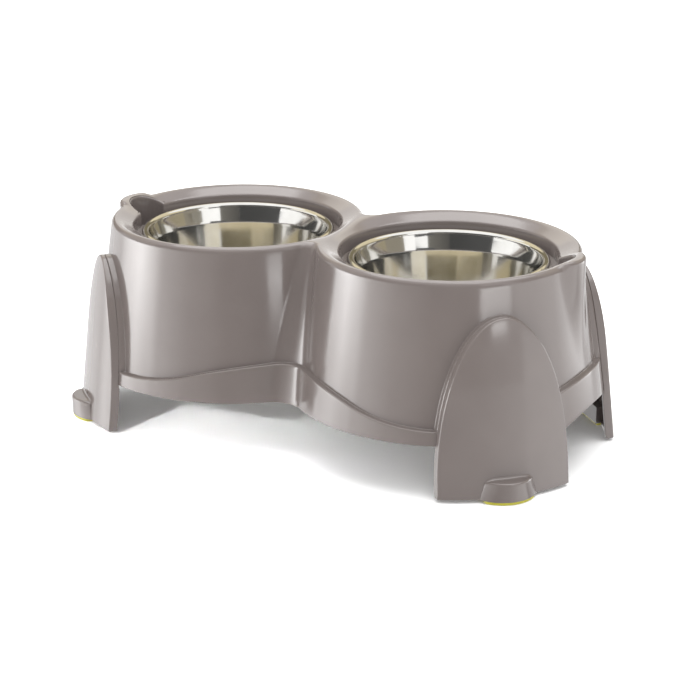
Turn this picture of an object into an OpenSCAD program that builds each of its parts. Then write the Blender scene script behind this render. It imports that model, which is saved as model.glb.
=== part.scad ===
// Raised double pet bowl: a moulded stand on four bolted-on legs with rubber feet,
// holding two loose steel bowls. Millimetres, ground at z = 0, long side along x.

/* [Steel bowls] */
// Outer radius of a steel bowl over its rolled rim
bowl_r = 100; // [85:1:115]
// Depth of a steel bowl from its rim to its underside
bowl_depth = 70; // [50:1:90]
// Thickness of the bowl's steel sheet
bowl_t = 1.2; // [0.8:0.1:1.6]
// Radius of the rolled rim
bead_r = 4; // [3:0.25:5]
// Height of the flared shoulder under the rolled rim
shoulder_h = 15; // [8:1:20]
// Lean of the flared shoulder in degrees
shoulder_lean = 17; // [12:1:22]
// Lean of the bowl's lower wall in degrees
bowl_lean = 9; // [4:1:12]
// Radius of the bend between the bowl's wall and its floor
bowl_bend = 14; // [8:1:18]

/* [Collar around each bowl] */
// Gap between the steel rim and the collar's inner edge
rim_gap = 8; // [5:0.5:12]
// Depth of the steel rim's top below the collar's inner edge
rim_sink = 5.4; // [3:0.2:8]
// Width of the slope from the collar's inner edge up to its ridge
dish_w = 16.4; // [12:0.2:22]
// Height of the ridge above the collar's inner edge
dish_drop = 7.6; // [5:0.2:9]
// Inward taper of the collar's wall from its edge down to the seat
collar_taper = 1; // [0.5:0.1:2]
// Room between the bowl's shoulder and the opening that it hangs through
well_gap = 0.8; // [0.6:0.1:2]
// Height of the lip that stiffens the opening
lip_h = 8; // [5:0.5:12]

/* [Stand] */
// Height of the ridge above the ground
stand_h = 203; // [185:1:225]
// Width of the bridge between the two collars' inner edges
bridge_w = 24; // [18:1:40]
// Lean of the outer wall in degrees
draft = 8.25; // [6:0.25:10]
// Thickness of the moulded walls
wall_t = 3; // [2.5:0.25:3.5]
// Radius of the rounded edge outside the ridge
edge_round = 6.5; // [5.5:0.5:8]
// Radius of the valley between the two rings at the ridge
valley_r = 10; // [8:1:16]
// Growth of the valley's radius for each millimetre further down
valley_flare = 0.17; // [0.12:0.01:0.22]

/* [Finger notches] */
// Radius of a finger notch
notch_r = 21.5; // [18:0.5:24]
// Depth of a finger notch's floor below the ridge
notch_depth = 32; // [26:1:40]
// Plastic left around the notch, which bulges out as an ear
ear_w = 12; // [9:0.5:14]
// Rise of the ear above the ridge
ear_rise = 3; // [1:0.5:5]
// Radius of the ear's rounded edge
ear_round = 4; // [2:0.5:5]

/* [Skirt] */
// How far the skirt stands out from the wall above it
skirt_t = 6; // [5:0.5:7]
// Height of the skirt's lower edge above the ground
skirt_z = 51.7; // [40:0.5:58]
// Height of the wavy ledge at its crest, in the middle of a long side
crest_z = 89.5; // [84:0.5:100]
// Fall of the ledge from its crest to its trough
wave_fall = 24.2; // [14:0.2:26]
// Distance of the trough past the bowl's centre
trough_out = 55; // [40:1:70]
// Height of the ledge in the middle of each end
end_crest_z = 94.2; // [84:0.2:104]
// Radius of the ledge's arc at each end
end_ledge_r = 273; // [200:1:400]
// Rise of the skirt's lower edge in the middle of each end
end_arch_h = 10.5; // [6:0.5:14]
// Half the width of that rise
end_arch_half = 57; // [40:1:60]

/* [Legs] */
// Direction of each leg from its bowl's centre, in degrees from the long axis
leg_angle = 45; // [40:1:50]
// Width of a leg
leg_w = 133; // [110:1:140]
// Height of a leg's arch above its own lower edge
leg_h = 167.5; // [140:0.5:175]
// Height above the lower edge at which the arch starts to narrow
leg_spring_z = 10; // [4:1:30]
// How far the leg's face at its lower edge stands out from the wall at the ridge
leg_out = 40.2; // [38:0.2:46]
// Lean of the leg's face in degrees
leg_lean = 6.56; // [5.5:0.1:7.5]
// Height above the lower edge at which the face starts to curve inwards
leg_bend_z = 100; // [60:1:130]
// Radius of that inward curve
leg_bend_r = 420; // [350:10:800]
// Depth of the leg's tray below the skirt
leg_depth = 8; // [6:0.5:12]
// Thickness of the leg's walls
leg_t = 3; // [2:0.25:3.5]

/* [Feet] */
// Height of the rubber foot below the leg
foot_h = 3.2; // [2:0.2:5]
// Width of the toe that carries the rubber foot
toe_w = 55; // [44:1:64]
// Height of the toe
toe_h = 18.5; // [14:0.5:26]
// How far the toe stands out from the leg's face
toe_out = 12.1; // [8:0.1:15]
// Radius of the toe's rounded front
toe_r = 35; // [32:1:50]
// Length of the toe from its front to its back
toe_l = 25.3; // [22:0.1:30]
// Margin of plastic around the rubber foot
foot_margin = 0.8; // [0.4:0.1:2]
// Width of the rubber foot
foot_w = 48.6; // [36:0.2:54]
// Height of the plug that holds the rubber foot
plug_h = 6; // [3:0.5:10]
// Margin of rubber around the plug
plug_margin = 5; // [4:0.5:7]

/* [Leg screws] */
// Height of the lower screw above the leg's lower edge
screw_low_z = 80; // [76:1:95]
// Distance up to the upper screw
screw_pitch = 50; // [30:1:56]
// Radius of a screw's shank
screw_r = 1.2; // [1:0.1:1.5]
// Radius of a screw's head
screw_head_r = 3.5; // [2.8:0.1:4.2]
// Height of a screw's head
screw_head_h = 2; // [1.5:0.1:3]
// Plastic left in the leg's face beyond the tip of a screw
screw_skin = 1.5; // [1.2:0.1:2]
// Wall of the boss that a screw bites into
boss_wall = 3.2; // [2:0.1:5]

/* [Fits] */
// Clearance between pieces that rest on each other
seat_gap = 0.3; // [0.2:0.05:0.5]
// Clearance around a screw's shank in its boss
bite_gap = 0.05; // [0.03:0.01:0.1]
// Clearance around a screw's shank in the stand
pass_gap = 0.8; // [0.4:0.1:1.2]

/* [Hidden] */
$fn = 96;

// Length by which a cutter runs past what it cuts
over = 1;
// Depth by which a blend's faceted edge sinks into the ring beside it
sink = 0.1;

plastic = [0.60, 0.57, 0.55];
steel = [0.78, 0.78, 0.77];
rubber = [0.76, 0.80, 0.27];

// The collar, from the steel rim outwards
slope = tan(draft);
collar_r = bowl_r + rim_gap;
ridge_r = collar_r + dish_w;
round_z = stand_h - edge_round;
ring_r = ridge_r + edge_round * (1 / cos(draft) - slope);
half = collar_r + bridge_w / 2;
dish_z = stand_h - dish_drop;
dish_slope = dish_drop / dish_w;
dish_depth = wall_t * sqrt(1 + dish_slope * dish_slope);
seat_r = collar_r - collar_taper;
well_r = bowl_r - 2 * bead_r + bowl_t + well_gap;
rim_z = dish_z - rim_sink;
bead_z = rim_z - bead_r;
seat_z = bead_z - bead_r - seat_gap;

// The outer wall and the valley between the rings at height z, both moved out by off
function wall_r(z, off = 0) = ring_r + slope * (stand_h - z) + off;
function valley(z) = valley_r + valley_flare * (stand_h - z);
function valley_y(z) = sqrt(pow(wall_r(z) + valley(z) - sink, 2) - half * half);
// How far the rounded edge has drawn the wall in at height z
function drawn_in(z) = z <= round_z + edge_round * sin(draft) ? 0
    : wall_r(z) - ridge_r - sqrt(max(0, pow(edge_round, 2) - pow(z - round_z, 2)));

// The legs, whose frame has x out along the leg and z from the ground
leg_z = foot_h;
leg_foot_r = ring_r + leg_out;
bend_z = leg_z + leg_bend_z;
bend_r = leg_foot_r - leg_bend_z * tan(leg_lean);
LEGS = [
    [-1, -180 + leg_angle],
    [1, -leg_angle],
    [-1, 180 - leg_angle],
    [1, leg_angle]
];
arch_steps = 36;
pad_top_z = leg_z + leg_h + over;

// The screws stand square to the outer wall
screw_zs = [leg_z + screw_low_z, leg_z + screw_low_z + screw_pitch];

// The ledge's wave: two equal arcs each side of the crest, parted just past where they touch
wave_l = half + trough_out;
wave_r = (wave_l * wave_l + wave_fall * wave_fall) / (4 * wave_fall);
wave_turn = wave_l / 2 + over;
trough_z = crest_z - wave_fall;
ledge_split = half + wall_r(trough_z, skirt_t) * cos(leg_angle);
skirt_top_z = max(crest_z, end_crest_z) + over;
end_arch_r = (end_arch_half * end_arch_half + end_arch_h * end_arch_h) / (2 * end_arch_h);

// The ears and their notches
notch_x = half + collar_r - collar_taper;
ear_r = notch_r + ear_w;
ear_top_z = stand_h + ear_rise;
notch_z = stand_h - notch_depth;
ear_low_z = stand_h - (notch_x - half + ear_r - ring_r) / slope - edge_round;
reach = wall_r(0, skirt_t) + toe_out;

module at_bowls() {
    for (side = [-1, 1]) {
        translate([side * half, 0, 0]) children();
    }
}

module at_leg(leg) {
    translate([leg[0] * half, 0, 0]) rotate(leg[1]) children();
}

// One side's blend between the rings, as a stack of sections: each runs along the valley's
// arc and closes at a point inside both rings
blend_steps = 14;
blend_heart_y = 20;
function blend_section(z, off) =
    let (
        y = valley_y(z),
        r = valley(z) - off + drawn_in(z),
        open = atan2(half, y)
    )
    [
        [0, blend_heart_y, z],
        for (i = [0 : blend_steps])
            let (a = open * (2 * i / blend_steps - 1))
            [r * sin(a), y - r * cos(a), z]
    ];

module blend(zs, off) {
    n = blend_steps + 2;
    last = len(zs) - 1;
    points = [for (z = zs) each blend_section(z, off)];
    floor_faces = [for (i = [1 : n - 2]) [0, i + 1, i]];
    roof_faces = [for (i = [1 : n - 2]) [last * n, last * n + i, last * n + i + 1]];
    side_faces = [
        for (k = [0 : last - 1], i = [0 : n - 1])
            let (a = k * n + i, b = k * n + (i + 1) % n)
            each [[a, b, a + n], [b, b + n, a + n]]
    ];
    polyhedron(points, concat(floor_faces, roof_faces, side_faces), convexity = 4);
}

// Even heights from z0 to z1, about step apart
function heights(z0, z1, step) =
    let (n = ceil((z1 - z0) / step))
    [for (i = [0 : n]) z0 + (z1 - z0) * i / n];

blend_step = 15;
round_steps = 4;

// The outline of both rings and the waist between them, from z0 to z1, moved out by off
module two_rings(z0, z1, off) {
    at_bowls() {
        translate([0, 0, z0]) cylinder(h = z1 - z0, r1 = wall_r(z0, off), r2 = wall_r(z1, off));
    }
    for (side = [0, 1]) {
        mirror([0, side, 0]) blend(heights(z0, z1, blend_step), off);
    }
}

// The same outline up to the ridge, with its edge rounded
module rounded_rings() {
    turn_z = round_z + edge_round * sin(draft);
    at_bowls() {
        rotate_extrude() {
            polygon([
                [0, skirt_z],
                [wall_r(skirt_z), skirt_z],
                [wall_r(turn_z), turn_z],
                [ridge_r, stand_h],
                [0, stand_h]
            ]);
            translate([ridge_r, round_z]) circle(edge_round);
        }
    }
    straight = heights(skirt_z, turn_z, blend_step);
    rounded = [
        for (i = [1 : round_steps])
            let (a = draft + (90 - draft) * i / round_steps)
            round_z + edge_round * sin(a)
    ];
    for (side = [0, 1]) {
        mirror([0, side, 0]) blend(concat(straight, rounded), 0);
    }
}

module arch_outline(inset) {
    w = leg_w / 2 - inset;
    h = leg_h - leg_spring_z - inset;
    spring = leg_z + leg_spring_z;
    polygon([
        [-w, leg_z + inset],
        [w, leg_z + inset],
        for (i = [0 : arch_steps])
            let (a = 180 * i / arch_steps)
            [w * cos(a), spring + h * sin(a)]
    ]);
}

// The arch drawn straight back from the leg's front
module arch_block(inset) {
    translate([half / 2, 0, 0]) rotate([90, 0, 90]) linear_extrude(reach) arch_outline(inset);
}

// All that lies under the wavy ledge, lowered by drop
module under_ledge(drop) {
    rotate([90, 0, 0]) {
        linear_extrude(4 * half, center = true) {
            intersection() {
                translate([0, crest_z - wave_r]) circle(wave_r - drop, $fn = 720);
                translate([-wave_turn, 0]) square([2 * wave_turn, skirt_top_z]);
            }
            for (side = [0, 1]) {
                mirror([side, 0]) {
                    difference() {
                        translate([wave_turn, 0]) square([wave_l - wave_turn, skirt_top_z]);
                        translate([wave_l, trough_z + wave_r]) circle(wave_r + drop, $fn = 720);
                    }
                    translate([wave_l, 0]) square([ledge_split - wave_l, trough_z - drop]);
                }
            }
        }
    }
    for (side = [0, 1]) {
        mirror([side, 0, 0]) {
            translate([ledge_split, 0, 0]) {
                rotate([90, 0, 90]) {
                    linear_extrude(reach) {
                        intersection() {
                            translate([0, end_crest_z - end_ledge_r])
                                circle(end_ledge_r - drop, $fn = 720);
                            translate([-reach, 0]) square([2 * reach, skirt_top_z]);
                        }
                    }
                }
            }
        }
    }
}

// The skirt's and the leg pads' common outline, moved in by inset
module proud_outline(z0, inset) {
    intersection() {
        two_rings(z0, pad_top_z, skirt_t - inset);
        union() {
            under_ledge(inset);
            for (leg = LEGS) {
                at_leg(leg) arch_block(inset);
            }
        }
    }
}

module at_ears() {
    for (side = [0, 1]) {
        mirror([side, 0, 0]) translate([notch_x, 0, 0]) children();
    }
}

module ear() {
    rotate_extrude() {
        polygon([
            [0, ear_low_z],
            [ear_r, ear_low_z],
            [ear_r, ear_top_z - ear_round],
            [ear_r - ear_round, ear_top_z],
            [0, ear_top_z]
        ]);
        translate([ear_r - ear_round, ear_top_z - ear_round]) circle(ear_round);
    }
}

// The plastic that lines a bowl's well: slope, collar, seat and lip
module well_lining() {
    lining_r = collar_r + wall_t;
    rotate_extrude() {
        polygon([
            [well_r - over, seat_z - lip_h],
            [well_r + wall_t, seat_z - lip_h],
            [well_r + wall_t, seat_z - wall_t],
            [seat_r + wall_t, seat_z - wall_t],
            [lining_r, stand_h - (ridge_r - lining_r) * dish_slope - dish_depth],
            [ridge_r, stand_h - dish_depth],
            [ridge_r, stand_h],
            [well_r - over, stand_h]
        ]);
    }
}

// The room inside a bowl's well
module well() {
    rotate_extrude() {
        polygon([
            [0, seat_z - lip_h - over],
            [well_r, seat_z - lip_h - over],
            [well_r, seat_z],
            [seat_r, seat_z],
            [collar_r, dish_z],
            [collar_r + (ear_rise + dish_drop + over) / dish_slope, ear_top_z + over],
            [0, ear_top_z + over]
        ]);
    }
}

module notch_lining() {
    difference() {
        translate([notch_x, 0, notch_z - wall_t])
            cylinder(h = round_z - notch_z + wall_t, r = notch_r + wall_t);
        translate([half, 0, notch_z - wall_t - over])
            cylinder(h = stand_h, r = well_r);
    }
}

module at_screws() {
    for (z = screw_zs) {
        translate([wall_r(z, skirt_t), 0, z]) rotate([0, 90 - draft, 0]) children();
    }
}

module stand_body() {
    color(plastic) {
        difference() {
            union() {
                difference() {
                    union() {
                        rounded_rings();
                        proud_outline(skirt_z, 0);
                        at_ears() ear();
                    }
                    two_rings(skirt_z - over, round_z, -wall_t);
                    proud_outline(skirt_z - over, wall_t);
                    at_ears() {
                        translate([0, 0, ear_low_z])
                            cylinder(h = round_z - ear_low_z, r = ear_r - wall_t);
                    }
                }
                at_bowls() well_lining();
                for (side = [0, 1]) {
                    mirror([side, 0, 0]) notch_lining();
                }
            }
            at_bowls() well();
            at_ears() {
                translate([0, 0, notch_z]) cylinder(h = ear_top_z - notch_z + over, r = notch_r);
            }
            translate([0, 0, skirt_z + end_arch_h - end_arch_r]) {
                rotate([0, 90, 0]) {
                    difference() {
                        cylinder(h = 2 * (half + reach), r = end_arch_r, center = true, $fn = 360);
                        cylinder(h = 2 * half, r = end_arch_r + over, center = true);
                    }
                }
            }
            for (leg = LEGS) {
                at_leg(leg) at_screws() {
                    cylinder(h = 4 * wall_t, r = screw_r + pass_gap, center = true, $fn = 32);
                }
            }
        }
    }
}

// All inside the leg's face, moved in by inset
module leg_face(inset) {
    top_z = leg_z + leg_h;
    rotate_extrude() {
        polygon([
            [0, leg_z],
            [leg_foot_r - inset, leg_z],
            [bend_r - inset, bend_z],
            [0, bend_z]
        ]);
        intersection() {
            translate([
                bend_r - inset - leg_bend_r * cos(leg_lean),
                bend_z - leg_bend_r * sin(leg_lean)
            ]) circle(leg_bend_r, $fn = 720);
            translate([0, bend_z]) square([leg_foot_r, top_z - bend_z]);
        }
    }
}

// The toe's plan, drawn in by margin and cut to a width
module toe_plan(margin, width) {
    front = leg_foot_r + toe_out;
    intersection() {
        translate([front - toe_r, 0]) circle(toe_r - margin);
        translate([front - toe_l + margin, -width / 2]) square([toe_l, width]);
    }
}

module leg() {
    color(plastic) {
        difference() {
            union() {
                difference() {
                    intersection() {
                        leg_face(0);
                        arch_block(0);
                    }
                    intersection() {
                        leg_face(leg_t);
                        arch_block(leg_t);
                    }
                    leg_face(leg_depth);
                }
                translate([0, 0, leg_z]) linear_extrude(toe_h) toe_plan(0, toe_w);
                intersection() {
                    leg_face(leg_t / 2);
                    at_screws() {
                        cylinder(h = toe_out, r = screw_r + bite_gap + boss_wall, $fn = 48);
                    }
                }
            }
            pad_gap = skirt_t + seat_gap;
            cut_z = skirt_z - seat_gap;
            translate([0, 0, cut_z])
                cylinder(h = stand_h - cut_z, r1 = wall_r(cut_z, pad_gap), r2 = wall_r(stand_h, pad_gap));
            translate([0, 0, leg_z - over])
                linear_extrude(plug_h + seat_gap + over)
                    toe_plan(foot_margin + plug_margin - seat_gap, foot_w - 2 * plug_margin + 2 * seat_gap);
            at_screws() {
                cylinder(h = screw_tip() + seat_gap, r = screw_r + bite_gap, $fn = 32);
            }
        }
    }
}

// How far a screw's tip lies beyond the pad: it stops short of the leg's face
function face_r(z) = z <= bend_z ? leg_foot_r - (z - leg_z) * tan(leg_lean)
    : bend_r - leg_bend_r * cos(leg_lean)
        + sqrt(pow(leg_bend_r, 2) - pow(z - bend_z + leg_bend_r * sin(leg_lean), 2));
function screw_tip() =
    min([for (z = screw_zs) face_r(z) - wall_r(z, skirt_t)]) * cos(draft) - screw_skin;

module foot() {
    color(rubber) {
        linear_extrude(foot_h) toe_plan(foot_margin, foot_w);
        translate([0, 0, foot_h])
            linear_extrude(plug_h) toe_plan(foot_margin + plug_margin, foot_w - 2 * plug_margin);
    }
}

// The bowl's wall as a section, filled to the axis and moved in by inset
module bowl_section(inset) {
    shoulder_r = bowl_r - 2 * bead_r + bowl_t - shoulder_h * tan(shoulder_lean);
    shoulder_z = bead_z - shoulder_h;
    bend_c_z = rim_z - bowl_depth + bowl_bend;
    bend_c_r = shoulder_r - (shoulder_z - bend_c_z) * tan(bowl_lean) - bowl_bend / cos(bowl_lean);
    bend = bowl_bend - inset;
    top_r = bowl_r - 2 * bead_r + bowl_t - inset;
    polygon([
        [0, bend_c_z - bend],
        [bend_c_r, bend_c_z - bend],
        [bend_c_r + bend * cos(bowl_lean), bend_c_z - bend * sin(bowl_lean)],
        [shoulder_r - inset, shoulder_z],
        [top_r, bead_z],
        [0, bead_z]
    ]);
    translate([bend_c_r, bend_c_z]) circle(bend);
}

module bowl() {
    color(steel) {
        rotate_extrude() {
            difference() {
                bowl_section(0);
                bowl_section(bowl_t);
                translate([-bowl_r, 0]) square([bowl_r, stand_h]);
            }
            difference() {
                translate([bowl_r - bead_r, bead_z]) circle(bead_r);
                translate([bowl_r - bead_r, bead_z]) circle(bead_r - bowl_t);
                translate([bowl_r - 2 * bead_r - over, bead_z - bead_r - over])
                    square([bead_r + over, bead_r + over]);
            }
        }
    }
}

module leg_screws() {
    color(steel) {
        for (leg = LEGS) {
            at_leg(leg) at_screws() {
                translate([0, 0, -wall_t - seat_gap]) {
                    cylinder(h = wall_t + seat_gap + screw_tip(), r = screw_r, $fn = 32);
                    translate([0, 0, -screw_head_h]) cylinder(h = screw_head_h, r = screw_head_r, $fn = 32);
                }
            }
        }
    }
}

stand_body();
at_leg(LEGS[0]) leg();  // front_left_leg
at_leg(LEGS[1]) leg();  // front_right_leg
at_leg(LEGS[2]) leg();  // rear_left_leg
at_leg(LEGS[3]) leg();  // rear_right_leg
at_leg(LEGS[0]) foot();  // front_left_foot
at_leg(LEGS[1]) foot();  // front_right_foot
at_leg(LEGS[2]) foot();  // rear_left_foot
at_leg(LEGS[3]) foot();  // rear_right_foot
translate([-half, 0, 0]) bowl();  // left_bowl
translate([half, 0, 0]) bowl();  // right_bowl
leg_screws();
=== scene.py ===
"""Looks of a raised double pet bowl: a glossy moulded stand on four bolted-on legs with
rubber feet, and two polished steel bowls that hang in it. Sizes are in millimetres until a
finished mesh is scaled to metres."""

import logging
import math
from dataclasses import dataclass, field
from enum import Enum
from typing import Callable, Sequence

import bmesh
import bpy
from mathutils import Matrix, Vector
from mathutils.kdtree import KDTree


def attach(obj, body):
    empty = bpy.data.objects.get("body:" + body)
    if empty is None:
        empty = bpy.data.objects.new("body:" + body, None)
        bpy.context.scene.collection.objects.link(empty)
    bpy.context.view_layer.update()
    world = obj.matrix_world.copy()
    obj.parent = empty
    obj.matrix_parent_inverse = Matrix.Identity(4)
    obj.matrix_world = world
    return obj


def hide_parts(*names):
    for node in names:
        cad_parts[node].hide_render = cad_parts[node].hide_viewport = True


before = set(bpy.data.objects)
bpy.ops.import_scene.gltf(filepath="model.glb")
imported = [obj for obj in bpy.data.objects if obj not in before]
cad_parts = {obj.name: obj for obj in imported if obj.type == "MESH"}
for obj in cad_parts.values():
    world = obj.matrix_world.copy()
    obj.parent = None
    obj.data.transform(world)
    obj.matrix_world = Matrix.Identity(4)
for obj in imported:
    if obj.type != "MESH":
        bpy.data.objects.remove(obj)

logging.basicConfig(level=logging.INFO, format="%(name)s: %(message)s")
log = logging.getLogger("pet_bowl")

MM = 0.001
EDGE_WEIGHT = "bevel_weight_edge"
NEAR = 0.004
HALVINGS = 48
QUARTER = math.pi / 2.0
FULL_TURN = 360.0
BEVEL_STEPS = 3
NOISE_SPAN = (0.3, 0.7)

Pair = tuple[float, float]
Triple = tuple[float, float, float]
Place = Callable[[int, int], Vector]
Layer = tuple[bpy.types.Node, str, float, float]


def mix(low: float, high: float, share: float) -> float:
    """Returns the value a share of the way from low to high."""
    return low + (high - low) * share


def ease(share: float) -> float:
    """Returns a share from 0 to 1 that starts and ends softly."""
    t = min(max(share, 0.0), 1.0)
    return t * t * (3.0 - 2.0 * t)


def soft_max(a: float, b: float, soft: float) -> float:
    """Returns the larger of two heights, with the crease between them filled.

    Args:
        a: One height.
        b: The other height.
        soft: Difference below which the two flow together.

    Returns:
        The blended height.
    """
    near = max(soft - abs(a - b), 0.0) / soft
    return max(a, b) + near * near * soft / 4.0


def soft_min(a: float, b: float, soft: float) -> float:
    """Returns the smaller of two heights, with the ridge between them rounded."""
    return -soft_max(-a, -b, soft)


def halve(low: float, high: float, miss: Callable[[float], float]) -> float:
    """Finds where a rising miss crosses zero.

    Args:
        low: Value at which the miss is below zero.
        high: Value at which it is above zero.
        miss: The function to bring to zero.

    Returns:
        The value at the crossing.
    """
    for _ in range(HALVINGS):
        middle = (low + high) / 2.0
        if miss(middle) < 0.0:
            low = middle
        else:
            high = middle
    return (low + high) / 2.0


def between(start: Pair, end: Pair, share: float) -> Pair:
    """Returns the point a share of the way from start to end."""
    return mix(start[0], end[0], share), mix(start[1], end[1], share)


def bow(start: Pair, bend: Pair, end: Pair, share: float) -> Pair:
    """Finds a point of the curve that runs from start towards bend and on to end.

    Args:
        start: The curve's first point.
        bend: The point that it turns at without touching it.
        end: The curve's last point.
        share: Share of the way along.

    Returns:
        The point.
    """
    return between(between(start, bend, share), between(bend, end, share), share)


def draw_and_spin(
    bm: bmesh.types.BMesh, line: Sequence[Triple], degrees: float, steps: int
) -> None:
    """Draws a line through points and spins it round the z axis.

    Args:
        bm: The mesh to draw in.
        line: The points, in order.
        degrees: The sweep; a full turn is closed.
        steps: Steps of the sweep.
    """
    tips = bmesh.ops.create_vert(bm, co=line[0])["vert"]
    for spot in line[1:]:
        tips = bmesh.ops.extrude_vert_indiv(bm, verts=tips)["verts"]
        tips[0].co = spot
    bmesh.ops.spin(
        bm,
        geom=bm.verts[:] + bm.edges[:],
        cent=(0.0, 0.0, 0.0),
        axis=(0.0, 0.0, 1.0),
        angle=math.radians(degrees),
        steps=steps,
        use_merge=degrees >= FULL_TURN,
    )


def stand_up(bm: bmesh.types.BMesh, name: str) -> bpy.types.Object:
    """Makes a drawn mesh an object at the origin and links it to the scene.

    Args:
        bm: The drawn mesh, which is used up.
        name: The object's name.

    Returns:
        The object.
    """
    mesh = bpy.data.meshes.new(name)
    bm.to_mesh(mesh)
    bm.free()
    piece = bpy.data.objects.new(name, mesh)
    bpy.context.scene.collection.objects.link(piece)
    return piece


class Side(Enum):
    """The two halves of the stand, by the sign of x."""

    LEFT = -1
    RIGHT = 1


class Corner(Enum):
    """The four legs: their sides in x and in y."""

    FRONT_LEFT = (-1, -1)
    FRONT_RIGHT = (1, -1)
    REAR_LEFT = (-1, 1)
    REAR_RIGHT = (1, 1)

    @property
    def label(self) -> str:
        """Returns the corner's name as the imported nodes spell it."""
        return self.name.lower()


class Body(Enum):
    """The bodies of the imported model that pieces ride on."""

    STAND = "stand"
    LEFT_BOWL = "left_bowl_body"
    RIGHT_BOWL = "right_bowl_body"


class Sheet:
    """A moulded skin in millimetres, laid as grids of quads and then joined."""

    def __init__(self) -> None:
        """Starts an empty skin whose edges carry a rounding weight."""
        self.bm = bmesh.new()
        self.weight = self.bm.edges.layers.float.new(EDGE_WEIGHT)

    def lay(self, columns: int, rows: int, place: Place) -> None:
        """Lays a grid and moves each of its points to its place.

        Args:
            columns: Quads along the first count.
            rows: Quads along the second count.
            place: Gives the point at a column and a row.
        """
        made = bmesh.ops.create_grid(
            self.bm, x_segments=columns, y_segments=rows, size=0.5
        )
        for vert in made["verts"]:
            column = round((vert.co.x + 0.5) * columns)
            row = round((vert.co.y + 0.5) * rows)
            vert.co = place(column, row)

    def join(self) -> None:
        """Joins points that lie together, and turns the faces one way."""
        bmesh.ops.remove_doubles(self.bm, verts=self.bm.verts[:], dist=NEAR)
        bmesh.ops.recalc_face_normals(self.bm, faces=self.bm.faces[:])

    def mirror(self, axis: str) -> None:
        """Adds the mirror image across the plane at zero on an axis."""
        geom = self.bm.verts[:] + self.bm.edges[:] + self.bm.faces[:]
        bmesh.ops.mirror(self.bm, geom=geom, merge_dist=NEAR, axis=axis)

    def face_up(self) -> None:
        """Turns the whole skin over if its topmost face looks down.

        This suits the pieces whose top is an outer face.
        """
        top = max(self.bm.faces, key=lambda face: face.calc_center_median().z)
        top.normal_update()
        if top.normal.z < 0.0:
            bmesh.ops.reverse_faces(self.bm, faces=self.bm.faces[:])

    def weigh(self, path: Sequence[Vector], weight: float) -> None:
        """Marks the edges along a path for rounding.

        Args:
            path: The points that the edges join, in order.
            weight: Share of the rounding's full width.
        """
        tree = KDTree(len(path))
        for index, point in enumerate(path):
            tree.insert(point, index)
        tree.balance()
        found = {}
        for vert in self.bm.verts:
            _, index, distance = tree.find(vert.co)
            if distance < NEAR:
                found[vert] = index
        for vert, index in found.items():
            for edge in vert.link_edges:
                if found.get(edge.other_vert(vert)) == index + 1:
                    edge[self.weight] = weight

    def finish(
        self, name: str, sharp: float, wall: float = 0.0, rounding: float = 0.0
    ) -> bpy.types.Object:
        """Scales the skin to metres, and gives it its wall and its rounded edges.

        Args:
            name: The piece's name.
            sharp: Degrees past which an edge that isn't rounded stays crisp.
            wall: Wall thickness in millimetres, or 0 for a solid.
            rounding: Width in millimetres of an edge of weight 1.

        Returns:
            The piece.
        """
        for edge in self.bm.edges:
            bent = len(edge.link_faces) == 2 and edge.calc_face_angle(0.0) > math.radians(sharp)
            edge.smooth = not (bent and edge[self.weight] == 0.0)
        for face in self.bm.faces:
            face.smooth = True
        bmesh.ops.scale(self.bm, vec=(MM, MM, MM), verts=self.bm.verts[:])
        piece = stand_up(self.bm, name)
        if wall > 0.0:
            thick = piece.modifiers.new("wall", "SOLIDIFY")
            thick.thickness = wall * MM
            thick.offset = -1.0
            thick.use_even_offset = True
        if rounding > 0.0:
            edges = piece.modifiers.new("edges", "BEVEL")
            edges.limit_method = "WEIGHT"
            edges.offset_type = "OFFSET"
            edges.width = rounding * MM
            edges.segments = BEVEL_STEPS
            edges.use_clamp_overlap = False
        piece.modifiers.new("shade", "WEIGHTED_NORMAL").keep_sharp = True
        return piece


@dataclass(frozen=True)
class Layout:
    """Sizes that more than one piece is drawn from."""

    half: float = 120.0
    stand_h: float = 203.0
    ring_r: float = 130.0306
    draft: float = 8.25
    wall_t: float = 3.0
    skirt_t: float = 6.0
    skirt_z: float = 51.7
    foot_h: float = 3.2
    leg_angle: float = 45.0
    arch_w: float = 66.5
    arch_spring: float = 13.2
    arch_rise: float = 157.5
    rounding: float = 2.0

    def wall_r(self, z: float, off: float = 0.0) -> float:
        """Returns a ring's outer radius at a height, moved out by off."""
        return self.ring_r + math.tan(math.radians(self.draft)) * (self.stand_h - z) + off

    def arch(self, turn: float) -> Pair:
        """Returns the leg arch's (across, height) at a turn from one spring to the other."""
        height = self.arch_spring + self.arch_rise * math.sin(turn)
        return -self.arch_w * math.cos(turn), height


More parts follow.
